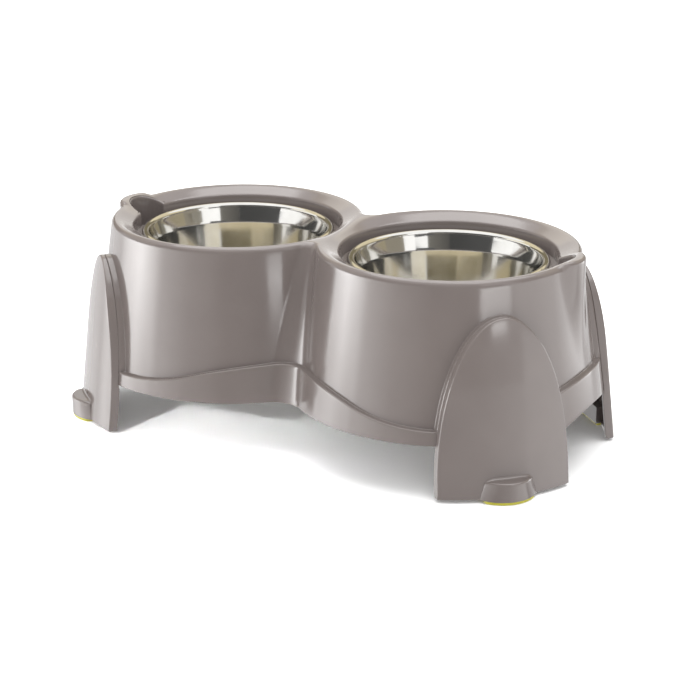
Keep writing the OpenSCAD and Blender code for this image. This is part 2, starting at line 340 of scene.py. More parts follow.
@dataclass
class StandShell:
    """The moulded stand: two rings joined at a waist, with collars, ears and a skirt."""

    layout: Layout = field(default_factory=Layout)
    collar_r: float = 108.0
    ridge_r: float = 124.4
    dish_z: float = 195.4
    dish_slope: float = 0.4634
    seat_r: float = 107.0
    seat_z: float = 181.7
    lip_r: float = 94.0
    lip_z: float = 173.7
    edge_round: float = 6.5
    crest_soft: float = 2.0
    saddle_soft: float = 6.0
    valley_r: float = 10.0
    valley_flare: float = 0.17
    notch_out: float = 107.0
    notch_r: float = 21.5
    notch_z: float = 171.0
    ear_r: float = 33.5
    ear_rise: float = 3.0
    ear_round: float = 4.0
    ear_soft: float = 5.0
    ear_blend: float = 5.0
    crest_z: float = 89.5
    wave_fall: float = 24.2
    wave_l: float = 175.0
    end_crest_z: float = 94.2
    end_ledge_r: float = 273.0
    end_arch_h: float = 10.5
    end_arch_half: float = 57.0
    end_columns: int = 16
    arch_columns: int = 60
    wave_columns: int = 68
    bridge_columns: int = 12
    ear_turn: float = 16.0
    leg_turn: float = 70.0
    valley_turn: float = 147.0
    valley_columns: int = 26
    valley_reach: float = 52.0
    notch_ease: float = 22.0
    dish_rows: int = 7
    rim_rows: int = 8
    wall_rows: int = 24
    ledge_rows: int = 3
    skirt_rows: int = 12
    collar_rows: int = 4
    seat_rows: int = 3
    lip_rows: int = 2
    floor_rows: int = 6
    sharp: float = 40.0
    collar_weight: float = 0.9
    notch_weight: float = 1.0
    ledge_weight: float = 0.55
    nook_weight: float = 0.3
    hem_weight: float = 0.4

    def __post_init__(self) -> None:
        """Works out the sizes that follow from the fields, and where the columns lie."""
        self.round_z = self.layout.stand_h - self.edge_round
        self.wave_r = (self.wave_l**2 + self.wave_fall**2) / (4.0 * self.wave_fall)
        self.columns = self.end_columns + self.arch_columns + self.wave_columns
        self.far_columns = self.wave_columns - self.valley_columns
        middle_z = (self.seat_z + self.lip_z) / 2.0
        self.notch_levels = (self.seat_z, middle_z, self.lip_z, self.notch_z)
        self.top_turns = self._top_turns()
        self.inner_line = self._ledge_line(0.0)
        self.outer_line = self._ledge_line(self.layout.skirt_t)

    # The outline

    def valley(self, z: float) -> float:
        """Returns the valley's radius at a height."""
        return self.valley_r + self.valley_flare * (self.layout.stand_h - z)

    def valley_y(self, z: float) -> float:
        """Returns how far the valley's axis lies from the long axis at a height."""
        reach = self.layout.wall_r(z) + self.valley(z)
        return math.sqrt(reach**2 - self.layout.half**2)

    def drawn_in(self, z: float) -> float:
        """Measures how far the rounded edge has drawn the wall in.

        Args:
            z: Height.

        Returns:
            The distance, or 0 below the rounding.
        """
        if z <= self.round_z + self.edge_round * math.sin(math.radians(self.layout.draft)):
            return 0.0
        rise = min(z - self.round_z, self.edge_round)
        return (
            self.layout.wall_r(z) - self.ridge_r - math.sqrt(self.edge_round**2 - rise**2)
        )

    def last_turn(self, z: float, off: float) -> float:
        """Returns the angle about the bowl's centre at which the outline meets x = 0."""
        edge = self.valley_y(z) - (self.valley(z) - off)
        return math.pi - math.atan2(edge, self.layout.half)

    def outline(self, turn: float, z: float, off: float) -> float:
        """Measures the outline of ring and waist from the bowl's centre.

        Args:
            turn: Angle about the bowl's centre, from the end of the stand.
            z: Height.
            off: Distance that the outline is moved out.

        Returns:
            The distance from the centre.
        """
        centre_y = self.valley_y(z)
        half = self.layout.half
        if turn <= math.pi - math.atan2(centre_y, half):
            return self.layout.wall_r(z, off)
        radius = self.valley(z) - off
        along = half * math.cos(turn) - centre_y * math.sin(turn)
        inside = along**2 - (half**2 + centre_y**2 - radius**2)
        return -along - math.sqrt(max(inside, 0.0))

    def ear_reach(self, turn: float, radius: float) -> float:
        """Measures how far an ear reaches in a direction.

        Args:
            turn: Angle about the bowl's centre, from the end of the stand.
            radius: The ear's radius.

        Returns:
            The reach, or 0 beside the ear.
        """
        aside = self.notch_out * math.sin(turn)
        if abs(aside) >= radius or abs(turn) > QUARTER:
            return 0.0
        return self.notch_out * math.cos(turn) + math.sqrt(radius**2 - aside**2)

    def earness(self, turn: float) -> float:
        """Returns 1 where the rim runs along the ear, 0 where it runs along the ring."""
        ring = self.ridge_r + self.edge_round
        return ease((self.ear_reach(turn, self.ear_r) - ring) / self.ear_blend)

    def point(self, turn: float, radius: float, z: float) -> Vector:
        """Returns the point at a turn and a radius about the right bowl's centre."""
        x = self.layout.half + radius * math.cos(turn)
        return Vector((x, radius * math.sin(turn), z))

    # The ledge

    def wave(self, x: float) -> float:
        """Draws the wavy ledge as two arcs that touch.

        Args:
            x: Distance from the middle of the stand.

        Returns:
            The ledge's height.
        """
        if x <= self.wave_l / 2.0:
            return self.crest_z - self.wave_r + math.sqrt(self.wave_r**2 - x**2)
        trough_z = self.crest_z - self.wave_fall
        if x >= self.wave_l:
            return trough_z
        return trough_z + self.wave_r - math.sqrt(self.wave_r**2 - (self.wave_l - x) ** 2)

    def end_ledge(self, y: float) -> float:
        """Returns the end ledge's height at a distance from the long axis."""
        return self.end_crest_z - self.end_ledge_r + math.sqrt(self.end_ledge_r**2 - y**2)

    def _arch_turn(self, turn: float, off: float) -> Pair:
        """Finds a point of the leg's arch on the wall.

        Args:
            turn: The arch's own turn.
            off: Distance outside the upper wall.

        Returns:
            (angle about the bowl's centre, height).
        """
        across, z = self.layout.arch(turn)
        lean = math.asin(across / self.layout.wall_r(z, off))
        return math.radians(self.layout.leg_angle) + lean, z

    def _ledge_line(self, off: float) -> list[Pair]:
        """Works out the line along which the skirt and the leg pads end.

        Args:
            off: Distance from the upper wall: 0 on it, the skirt's thickness outside it.

        Returns:
            (share of the outline's last turn, height) for each column.
        """

        def end_miss(turn: float) -> float:
            """Returns how far the arch stands over the end ledge at the arch's turn."""
            about, z = self._arch_turn(turn, off)
            return z - self.end_ledge(self.layout.wall_r(z, off) * math.sin(about))

        def wave_x(turn: float) -> float:
            """Returns how far from the middle of the stand the arch is at its turn."""
            about, z = self._arch_turn(turn, off)
            return self.layout.half + self.layout.wall_r(z, off) * math.cos(about)

        def wave_miss(turn: float) -> float:
            """Returns how far the arch stands under the wavy ledge at the arch's turn."""
            _, z = self._arch_turn(turn, off)
            return self.wave(wave_x(turn)) - z

        first = halve(0.0, QUARTER, end_miss)
        last = halve(QUARTER, math.pi, wave_miss)
        line = []
        about, z = self._arch_turn(first, off)
        corner_y = self.layout.wall_r(z, off) * math.sin(about)
        for i in range(self.end_columns):
            y = corner_y * i / self.end_columns
            z = self.end_ledge(y)
            line.append((math.asin(y / self.layout.wall_r(z, off)), z))
        for i in range(self.arch_columns):
            line.append(self._arch_turn(mix(first, last, i / self.arch_columns), off))
        far_x = wave_x(last)
        for i in range(self.wave_columns + 1):
            past = i - self.far_columns
            if past < 0:
                x = mix(far_x, self.valley_reach, i / self.far_columns)
            else:
                x = mix(self.valley_reach, 0.0, past / self.valley_columns)
            z = self.wave(x)
            line.append((self._turn_at(x, z, off), z))
        return [(about / self.last_turn(z, off), z) for about, z in line]

    def _turn_at(self, x: float, z: float, off: float) -> float:
        """Finds the outline's point at a distance from the middle.

        Args:
            x: Distance from the middle of the stand.
            z: Height.
            off: Distance that the outline is moved out.

        Returns:
            The point's angle about the bowl's centre.
        """
        half = self.layout.half
        about = math.acos((x - half) / self.layout.wall_r(z, off))
        centre_y = self.valley_y(z)
        if about <= math.pi - math.atan2(centre_y, half):
            return about
        y = centre_y - math.sqrt((self.valley(z) - off) ** 2 - x**2)
        return math.atan2(y, x - half)

    def _top_turns(self) -> list[float]:
        """Spreads the columns along the rim.

        Returns:
            Each column's share of the last turn.
        """
        top = self.layout.stand_h
        last = math.degrees(self.last_turn(top, -self.drawn_in(top)))
        stops = [
            (0, 0.0),
            (self.end_columns, self.ear_turn),
            (self.columns - self.wave_columns, self.leg_turn),
            (self.columns - self.valley_columns, self.valley_turn),
            (self.columns, last),
        ]
        turns = []
        for (i0, t0), (i1, t1) in zip(stops, stops[1:]):
            turns += [mix(t0, t1, (i - i0) / (i1 - i0)) / last for i in range(i0, i1)]
        return turns + [1.0]

    # The rim and the dish

    def on_seam(self, column: int, spot: Vector) -> Vector:
        """Puts a point of the last column on the middle plane, and leaves the others."""
        return Vector((0.0, spot.y, spot.z)) if column == self.columns else spot

    def dish(self, x: float, y: float) -> float:
        """Joins the two collars' slopes in one saddle.

        Args:
            x: Distance along the stand.
            y: Distance across it.

        Returns:
            The height over the point.
        """
        half = self.layout.half
        near = math.hypot(x - half, y)
        far = math.hypot(x + half, y)
        return self.dish_z + soft_min(
            self.dish_slope * (near - self.collar_r),
            self.dish_slope * (far - self.collar_r),
            self.saddle_soft,
        )

    def rim_point(self, column: int, rise: float) -> Vector:
        """Places a point of the rounded rim.

        Args:
            column: The outer wall's column.
            rise: 0 where the rounding leaves the wall, 1 at its top.

        Returns:
            The point.
        """
        share = self.top_turns[column]
        rough = share * self.last_turn(self.layout.stand_h, 0.0)
        ear = self.earness(rough)
        beta = mix(mix(math.radians(self.layout.draft), 0.0, ear), QUARTER, rise)
        ring_z = self.round_z + self.edge_round * math.sin(beta)
        ear_top = self.layout.stand_h + self.ear_rise
        ear_z = ear_top - self.ear_round * (1.0 - math.sin(beta))
        off = -self.drawn_in(ring_z)
        turn = share * self.last_turn(ring_z, off)
        reach = self.ear_reach(turn, self.ear_r - self.ear_round * (1.0 - math.cos(beta)))
        radius = soft_max(self.outline(turn, ring_z, off), reach, self.ear_soft)
        spot = self.point(turn, radius, mix(ring_z, ear_z, ear))
        spot.z = soft_min(spot.z, self.dish(spot.x, spot.y), self.crest_soft)
        return self.on_seam(column, spot)

    def wall_point(self, column: int, fall: float) -> Vector:
        """Places a point of the upper wall.

        Args:
            column: The column along the outer wall.
            fall: 0 at the rim, 1 at the ledge.

        Returns:
            The point.
        """
        inner_share, inner_z = self.inner_line[column]
        top = self.rim_point(column, 0.0)
        z = mix(top.z, inner_z, fall)
        share = mix(self.top_turns[column], inner_share, fall)
        turn = share * self.last_turn(z, 0.0)
        reach = self.ear_reach(turn, self.ear_r)
        radius = soft_max(self.outline(turn, z, 0.0), reach, self.ear_soft)
        spot = self.on_seam(column, self.point(turn, radius, z))
        return top if fall == 0.0 else spot

    def skirt_point(self, column: int, fall: float) -> Vector:
        """Places a point of the skirt.

        Args:
            column: The column along the outer wall.
            fall: 0 at the ledge, 1 at the skirt's lower edge.

        Returns:
            The point.
        """
        share, top_z = self.outer_line[column]
        off = self.layout.skirt_t
        low_z = self.layout.skirt_z
        turn = share * self.last_turn(low_z, off)
        y = self.layout.wall_r(low_z, off) * math.sin(turn)
        if turn < QUARTER and y < self.end_arch_half:
            radius = (self.end_arch_half**2 + self.end_arch_h**2) / (2.0 * self.end_arch_h)
            low_z += self.end_arch_h - radius + math.sqrt(radius**2 - y**2)
        z = mix(top_z, low_z, fall)
        turn = share * self.last_turn(z, off)
        return self.on_seam(column, self.point(turn, self.outline(turn, z, off), z))

    def ledge_point(self, column: int, share: float) -> Vector:
        """Places a point of the ledge between the wall's foot and the skirt's top."""
        return self.wall_point(column, 1.0).lerp(self.skirt_point(column, 0.0), share)

    def notch_turn(self, radius: float) -> float:
        """Returns the angle at which the notch's circle crosses a radius."""
        reach = radius**2 + self.notch_out**2 - self.notch_r**2
        return math.acos(reach / (2.0 * self.notch_out * radius))

    def notch_swing(self, radius: float) -> float:
        """Returns the notch's own angle at which its circle crosses a radius."""
        turn = self.notch_turn(radius)
        return math.atan2(radius * math.sin(turn), radius * math.cos(turn) - self.notch_out)

    def notch_point(self, swing: float, z: float) -> Vector:
        """Returns the point of the notch's wall at its own angle and a height."""
        x = self.layout.half + self.notch_out + self.notch_r * math.cos(swing)
        return Vector((x, self.notch_r * math.sin(swing), z))

    def collar_turn(self, column: int, radius: float) -> float:
        """Spreads the dish's columns round a circle inside it.

        Args:
            column: The column along the dish.
            radius: The circle's radius: the collar's, the seat's or the lip's.

        Returns:
            The column's angle about the bowl's centre.
        """
        top = self.crown(column)
        corner = self.crown(self.end_columns)
        half = self.layout.half
        own = math.atan2(top.y, top.x - half)
        shift = self.notch_turn(self.collar_r) - math.atan2(corner.y, corner.x - half)
        near = 1.0 - min((column - self.end_columns) / self.notch_ease, 1.0)
        cut = self.notch_turn(radius) - self.notch_turn(self.collar_r)
        return own + shift * near**2 + cut * near**4

    def crown(self, column: int) -> Vector:
        """Places the outermost point of the dish.

        Args:
            column: The column along the dish.

        Returns:
            The point.
        """
        if column <= self.columns:
            return self.rim_point(column, 1.0)
        edge = self.rim_point(self.columns, 1.0)
        y = edge.y * (1.0 - (column - self.columns) / self.bridge_columns)
        return Vector((0.0, y, self._dish_height(0.0, y, self.layout.stand_h)))

    def _dish_height(self, x: float, y: float, cap: float) -> float:
        """Returns the dish's height under a flat top at cap."""
        return soft_min(self.dish(x, y), cap, self.crest_soft)

    def collar_edge(self, column: int) -> Vector:
        """Places the dish's inner end, on the notch's edge or the collar's.

        Args:
            column: The column along the dish.

        Returns:
            The point.
        """
        if column <= self.end_columns:
            swing = self.notch_swing(self.collar_r) * column / self.end_columns
            spot = self.notch_point(swing, 0.0)
        else:
            spot = self.point(self.collar_turn(column, self.collar_r), self.collar_r, 0.0)
        cap = mix(
            self.layout.stand_h,
            self.layout.stand_h + self.ear_rise,
            self.earness(math.atan2(spot.y, spot.x - self.layout.half)),
        )
        spot.z = self._dish_height(spot.x, spot.y, cap)
        return spot

    def dish_point(self, column: int, share: float) -> Vector:
        """Places a point of the dish.

        Args:
            column: The column along the dish.
            share: 0 at its crown, 1 at its inner end.

        Returns:
            The point.
        """
        outer, inner = self.crown(column), self.collar_edge(column)
        spot = outer.lerp(inner, share)
        if 0.0 < share < 1.0:
            cap = self.layout.stand_h
            if column <= self.columns:
                rough = self.top_turns[column] * self.last_turn(cap, 0.0)
                cap += self.ear_rise * self.earness(rough)
            spot.z = self._dish_height(spot.x, spot.y, cap)
        return spot

    def collar_point(self, column: int, row: int) -> Vector:
        """Places a point of the collar's wall, the seat or the lip.

        Args:
            column: The column along the dish.
            row: The row down the wall, across the seat and down the lip.

        Returns:
            The point.
        """
        if row == 0:
            return self.collar_edge(column)
        down, past = row / self.collar_rows, row - self.collar_rows
        if down <= 1.0:
            radius = mix(self.collar_r, self.seat_r, down)
            z = mix(self.collar_edge(column).z, self.seat_z, down)
        elif past <= self.seat_rows:
            radius = mix(self.seat_r, self.lip_r, past / self.seat_rows)
            z = self.seat_z
        else:
            radius = self.lip_r
            z = mix(self.seat_z, self.lip_z, (past - self.seat_rows) / self.lip_rows)
        return self.point(self.collar_turn(column, radius), radius, z)

    def notch_wall_point(self, column: int, row: int) -> Vector:
        """Places a point of the notch's wall above the seat's height.

        Args:
            column: The column along the notch's wall.
            row: The row from the dish down to the seat.

        Returns:
            The point.
        """
        if row == 0:
            return self.collar_edge(column)
        share = row / self.collar_rows
        radius = mix(self.collar_r, self.seat_r, share)
        swing = self.notch_swing(radius) * column / self.end_columns
        return self.notch_point(swing, mix(self.collar_edge(column).z, self.seat_z, share))

    def notch_foot_swing(self, column: int) -> float:
        """Spreads the columns of the notch's wall below the seat.

        Args:
            column: The column along the notch's wall.

        Returns:
            The notch's own angle.
        """
        if column <= self.end_columns:
            return self.notch_swing(self.seat_r) * column / self.end_columns
        share = (column - self.end_columns) / self.seat_rows
        return self.notch_swing(mix(self.seat_r, self.lip_r, share))

    def notch_foot_point(self, column: int, row: int) -> Vector:
        """Places a point of the notch's wall below the seat's height."""
        return self.notch_point(self.notch_foot_swing(column), self.notch_levels[row])

    def notch_floor_point(self, column: int, share: float) -> Vector:
        """Places a point of the notch's floor.

        Args:
            column: The column along the notch's wall.
            share: 0 at the notch's wall, 1 at the well's edge.

        Returns:
            The point.
        """
        last = self.end_columns + self.seat_rows
        outer = self.notch_point(self.notch_foot_swing(column), self.notch_z)
        turn = self.notch_turn(self.lip_r) * column / last
        inner = self.point(turn, self.lip_r, self.notch_z)
        return outer.lerp(inner, share)

    def build(self) -> bpy.types.Object:
        """Lays a quarter of the stand's skin, mirrors it twice and gives it its wall.

        Returns:
            The stand's shell.
        """
        sheet = Sheet()
        n, crown_n, corner = self.columns, self.columns + self.bridge_columns, self.end_columns
        foot_n = corner + self.seat_rows
        deep = self.collar_rows + self.seat_rows + self.lip_rows
        for columns, rows, place in (
            (crown_n, self.dish_rows, self.dish_point),
            (n, self.rim_rows, lambda i, share: self.rim_point(i, 1.0 - share)),
            (n, self.wall_rows, self.wall_point),
            (n, self.ledge_rows, self.ledge_point),
            (n, self.skirt_rows, self.skirt_point),
            (foot_n, self.floor_rows, self.notch_floor_point),
        ):
            sheet.lay(columns, rows, lambda i, j: place(i, j / rows))
        sheet.lay(crown_n - corner, deep, lambda i, j: self.collar_point(i + corner, j))
        sheet.lay(corner, self.collar_rows, self.notch_wall_point)
        sheet.lay(foot_n, len(self.notch_levels) - 1, self.notch_foot_point)
        sheet.join()
        post = [self.collar_point(corner, j) for j in range(self.collar_rows + 1)]
        sheet.weigh([self.collar_edge(i) for i in range(crown_n + 1)], self.collar_weight)
        sheet.weigh(post, self.collar_weight)
        for last, place, share, weight in (
            (foot_n, self.notch_floor_point, 0.0, self.notch_weight),
            (n, self.skirt_point, 0.0, self.ledge_weight),
            (n, self.wall_point, 1.0, self.nook_weight),
            (n, self.skirt_point, 1.0, self.hem_weight),
        ):
            sheet.weigh([place(i, share) for i in range(last + 1)], weight)
        sheet.mirror("X")
        sheet.mirror("Y")
        sheet.join()
        sheet.face_up()
        wall, rounding = self.layout.wall_t, self.layout.rounding
        return sheet.finish("stand_shell", self.sharp, wall, rounding)


@dataclass
class Leg:
    """One bolted-on leg: a curved arch-topped tray with a toe that carries the foot."""

    corner: Corner
    layout: Layout = field(default_factory=Layout)
    face_foot_r: float = 170.2306
    lean: float = 6.56
    bend_z: float = 103.2
    bend_r: float = 420.0
    depth: float = 8.0
    seat_gap: float = 0.3
    toe_h: float = 18.5
    toe_centre: float = 147.3306
    toe_r: float = 35.0
    toe_turn: float = 48.0
    toe_half: float = 28.6
    toe_taper: float = 0.84
    toe_drop: float = 2.6
    drop_power: int = 6
    toe_round: float = 2.4
    round_share: float = 0.35
    toe_fillet: float = 2.6
    fillet_share: float = 0.45
    toe_least: float = 0.05
    heel_edge: float = 0.05
    heel_bow: float = 12.0
    toe_w: float = 55.0
    toe_l: float = 25.3
    flare_sink: float = 0.6
    flare_lift: float = 0.4
    flare_pull: float = 0.9
    tuck: float = 2.0
    sink: float = 0.15
    middle_z: float = 74.0
    low_steps: int = 28
    spring_steps: int = 2
    arch_steps: int = 72
    face_rows: int = 16
    side_rows: int = 4
    toe_columns: int = 44
    flare_columns: int = 8
    turn_rows: int = 4
    top_rows: int = 3
    sharp: float = 50.0
    toe_sharp: float = 60.0
    heel_sharp: float = 180.0
    front_weight: float = 0.55
    back_weight: float = 0.25

    def face_r(self, z: float) -> float:
        """Measures the leg's face from the bowl's centre.

        Args:
            z: Height.

        Returns:
            The face's radius: straight below the bend, an arc above it.
        """
        lean = math.radians(self.lean)
        straight = min(z, self.bend_z) - self.layout.foot_h
        radius = self.face_foot_r - straight * math.tan(lean)
        if z <= self.bend_z:
            return radius
        rise = z - self.bend_z + self.bend_r * math.sin(lean)
        return radius - self.bend_r * math.cos(lean) + math.sqrt(self.bend_r**2 - rise**2)

    def back_r(self, z: float) -> float:
        """Measures where the leg's side ends: at the pad, or at its depth below it.

        Args:
            z: Height.

        Returns:
            The radius about the bowl's centre.
        """
        edge_z = self.layout.skirt_z - self.seat_gap
        pad = self.layout.wall_r(z, self.layout.skirt_t + self.seat_gap)
        return pad if z > edge_z else self.face_r(z) - self.depth

    def spot(self, out: float, across: float, z: float) -> Vector:
        """Turns the leg's own frame into the stand's.

        Args:
            out: Distance from the bowl's centre along the leg's direction.
            across: Distance to the side.
            z: Height.

        Returns:
            The point.
        """
        side_x, side_y = self.corner.value
        turn = math.radians(self.layout.leg_angle)
        x = out * math.cos(turn) - across * math.sin(turn)
        y = out * math.sin(turn) + across * math.cos(turn)
        return Vector((side_x * (self.layout.half + x), side_y * y, z))

    def on_face(self, across: float, z: float, radius: float) -> Vector:
        """Returns the point of a round surface of a radius, straight behind (across, z)."""
        return self.spot(math.sqrt(radius**2 - across**2), across, z)

    def rim(self) -> list[Pair]:
        """Draws the leg's outline.

        Returns:
            Points (across, height) once round, ends together.
        """
        half, low, spring = self.layout.arch_w, self.layout.foot_h, self.layout.arch_spring
        rise = [mix(low, spring, i / self.spring_steps) for i in range(self.spring_steps + 1)]
        loop = [(mix(half, -half, i / self.low_steps), low) for i in range(self.low_steps)]
        loop += [(-half, z) for z in rise[:-1]]
        loop += [self.layout.arch(math.pi * i / self.arch_steps) for i in range(self.arch_steps)]
        loop += [(half, z) for z in rise[:0:-1]]
        return loop + [loop[0]]

    def face_point(self, loop: Sequence[Pair], i: int, share: float) -> Vector:
        """Places a point of the face.

        Args:
            loop: The leg's outline.
            i: The outline's point.
            share: 0 on the outline, 1 in the face's middle.

        Returns:
            The point.
        """
        across, z = loop[i]
        z = mix(z, self.middle_z, share)
        return self.on_face(across * (1.0 - share), z, self.face_r(z))

    def toe_plan(self, column: int) -> Pair:
        """Draws the toe's plan: a round front that flares into the leg's face.

        Args:
            column: The column across the toe.

        Returns:
            (out, across) of the toe's side wall.
        """
        turn = math.radians(self.toe_turn)
        step = min(column, self.toe_columns - column)
        if step >= self.flare_columns:
            front = self.toe_columns - 2 * self.flare_columns
            own = mix(-turn, turn, (column - self.flare_columns) / front)
            return (self.toe_centre + self.toe_r * math.cos(own), self.toe_r * math.sin(own))
        start = (self.toe_centre + self.toe_r * math.cos(turn), self.toe_r * math.sin(turn))
        foot = math.sqrt(self.face_foot_r**2 - self.toe_half**2)
        end = (foot - self.flare_sink, self.toe_half)
        reach = (start[0] - end[0]) / math.tan(turn) * self.flare_pull
        bend = (end[0] + self.flare_lift, start[1] + reach)
        out, across = bow(start, bend, end, 1.0 - step / self.flare_columns)
        return out, -across if column < self.toe_columns / 2 else across

    def toe_point(self, column: int, row: int) -> Vector:
        """Places a point of the toe's skin: underside, wall, rounded top and fillet.

        Args:
            column: The column across the toe.
            row: The row from its underside up to the leg's face.

        Returns:
            The point.
        """
        out, broad = self.toe_plan(column)
        low, across = self.layout.foot_h, broad * self.toe_taper
        fall = self.toe_drop * (abs(broad) / self.toe_half) ** self.drop_power
        top = low + self.toe_h - fall
        face = math.sqrt(self.face_r(top) ** 2 - across**2) - self.sink
        deep = max(out - face, self.toe_least)
        soft = min(self.toe_round, deep * self.round_share)
        rise = min(self.toe_fillet, deep * self.fillet_share)
        if row == 0:
            return self.spot(out - deep - self.tuck, broad, low)
        share = (row - 1) / self.turn_rows
        if share <= 1.0:
            return self.spot(out, mix(broad, across, share), mix(low, top - soft, share))
        turn = (share - 1.0) * QUARTER
        if share <= 2.0:
            inward, up = soft * (1.0 - math.cos(turn)), soft * (1.0 - math.sin(turn))
            return self.spot(out - inward, across, top - up)
        past = row - 1 - 2 * self.turn_rows
        if past <= self.top_rows:
            return self.spot(mix(out - soft, face + rise, past / self.top_rows), across, top)
        turn = (past - self.top_rows) / self.turn_rows * QUARTER
        lift = rise * (1.0 - math.cos(turn))
        back = math.sqrt(self.face_r(top + lift) ** 2 - across**2) - self.sink
        return self.spot(mix(face + rise, back, math.sin(turn)), across, top + lift)

    def side_point(self, loop: Sequence[Pair], i: int, share: float) -> Vector:
        """Places a point of the tray's side between the face and its back edge.

        Args:
            loop: The leg's outline.
            i: The outline's point.
            share: 0 at the face, 1 at the back.

        Returns:
            The point.
        """
        across, z = loop[i]
        face = math.sqrt(self.face_r(z) ** 2 - across**2)
        back = math.sqrt(self.back_r(z) ** 2 - across**2)
        return self.spot(mix(face, back, share), across, z)

    def build(self) -> list[bpy.types.Object]:
        """Makes the leg's tray, its toe and the toe's closed back.

        Returns:
            The tray, the toe and the heel.
        """
        return [self.tray(), self.toe(), self.heel()]

    def tray(self) -> bpy.types.Object:
        """Makes the arched tray.

        Returns:
            The tray.
        """
        loop = self.rim()
        last = len(loop) - 1
        sheet = Sheet()
        sheet.lay(last, self.face_rows, lambda i, j: self.face_point(loop, i, j / self.face_rows))
        sheet.lay(last, self.side_rows, lambda i, j: self.side_point(loop, i, j / self.side_rows))
        sheet.join()
        front = [self.side_point(loop, i, 0.0) for i in range(last)]
        sheet.weigh(front, self.front_weight)
        sheet.weigh([front[-1], front[0]], self.front_weight)
        sheet.weigh([self.side_point(loop, i, 1.0) for i in range(last)], self.back_weight)
        self._turn_out(sheet)
        name, wall = f"{self.corner.label}_leg_tray", self.layout.wall_t
        return sheet.finish(name, self.sharp, wall, self.layout.rounding)

    def toe(self) -> bpy.types.Object:
        """Makes the toe's skin in front of the face.

        Returns:
            The toe.
        """
        sheet = Sheet()
        sheet.lay(self.toe_columns, 1 + 3 * self.turn_rows + self.top_rows, self.toe_point)
        sheet.join()
        self._turn_out(sheet)
        return sheet.finish(f"{self.corner.label}_leg_toe", self.toe_sharp)

    def heel(self) -> bpy.types.Object:
        """Makes the toe's closed back, behind the face, which hides the foot's plug.

        Returns:
            The heel.
        """
        back = self.toe_centre + self.toe_r - self.toe_l
        front = self.face_foot_r - self.layout.wall_t - self.flare_sink
        half = self.toe_w / 2.0
        sheet = Sheet()
        bmesh.ops.create_cube(sheet.bm, size=1.0)
        bmesh.ops.bevel(
            sheet.bm,
            geom=sheet.bm.edges[:],
            offset=self.heel_edge,
            offset_type="OFFSET",
            affect="EDGES",
            segments=BEVEL_STEPS,
            profile=0.5,
            material=-1,
        )
        for vert in sheet.bm.verts:
            aside = vert.co.y * 2.0
            out = mix(back, front, vert.co.x + 0.5) - aside**2 * half / self.heel_bow
            height = self.layout.foot_h + self.toe_h * (vert.co.z + 0.5)
            vert.co = self.spot(out, aside * half, height)
        sheet.join()
        return sheet.finish(f"{self.corner.label}_leg_heel", self.heel_sharp)

    def _turn_out(self, sheet: Sheet) -> None:
        """Turns a skin's faces away from the bowl's centre.

        Args:
            sheet: The skin.
        """
        centre = Vector((self.corner.value[0] * self.layout.half, 0.0, 0.0))
        front = max(
            sheet.bm.faces, key=lambda face: (face.calc_center_median() - centre).xy.length
        )
        front.normal_update()
        if front.normal.xy.dot((front.calc_center_median() - centre).xy) < 0.0:
            bmesh.ops.reverse_faces(sheet.bm, faces=sheet.bm.faces[:])


@dataclass
class Foot:
    """A rubber foot: a slab under the toe with a rounded lower edge and a plug."""

    leg: Leg
    front_r: float = 34.2
    half_w: float = 24.3
    back: float = 157.8306
    edge: float = 0.9
    plug_h: float = 6.0
    plug_margin: float = 5.0
    top_edge: float = 0.3
    front_steps: int = 32
    side_steps: int = 4
    back_steps: int = 16
    edge_steps: int = 4
    sharp: float = 50.0

    def loop(self, inset: float) -> list[Pair]:
        """Draws the foot's plan.

        Args:
            inset: Distance that the plan is drawn in.

        Returns:
            Points (out, across) once round, ends together.
        """
        radius, half = self.front_r - inset, self.half_w - inset
        turn = math.asin(half / radius)
        turns = [mix(-turn, turn, i / self.front_steps) for i in range(self.front_steps + 1)]
        front = [(self.leg.toe_centre + radius * math.cos(t), radius * math.sin(t)) for t in turns]
        rear = self.back + inset
        outs = [mix(front[-1][0], rear, i / self.side_steps) for i in range(1, self.side_steps)]
        across = [mix(half, -half, i / self.back_steps) for i in range(self.back_steps + 1)]
        right, left = [(out, half) for out in outs], [(out, -half) for out in outs[::-1]]
        return front + right + [(rear, y) for y in across] + left + front[:1]

    def build(self) -> bpy.types.Object:
        """Makes the rubber foot with its plug.

        Returns:
            The foot.
        """
        turns = [i / self.edge_steps * QUARTER for i in range(self.edge_steps + 1)]
        levels = [(self.edge * (1 - math.sin(t)), self.edge * (1 - math.cos(t))) for t in turns]
        top, margin = self.leg.layout.foot_h, self.plug_margin
        levels += [(0.0, top - self.top_edge), (self.top_edge, top)]
        levels += [(margin, top), (margin, top + self.plug_h)]
        rings = [self.loop(inset) for inset, _ in levels]
        last = len(levels) + 1
        middle = (self.back + self.leg.toe_centre + self.front_r) / 2.0

        def skin(i: int, j: int) -> Vector:
            """Places a point of the foot, from under its middle up over the plug.

            Args:
                i: The plan's point.
                j: The level, between the underside's middle and the plug's.

            Returns:
                The point.
            """
            if j in (0, last):
                return self.leg.spot(middle, 0.0, 0.0 if j == 0 else levels[-1][1])
            return self.leg.spot(*rings[j - 1][i], levels[j - 1][1])

        sheet = Sheet()
        sheet.lay(len(rings[0]) - 1, last, skin)
        sheet.join()
        sheet.face_up()
        return sheet.finish(f"{self.leg.corner.label}_rubber_foot", self.sharp)


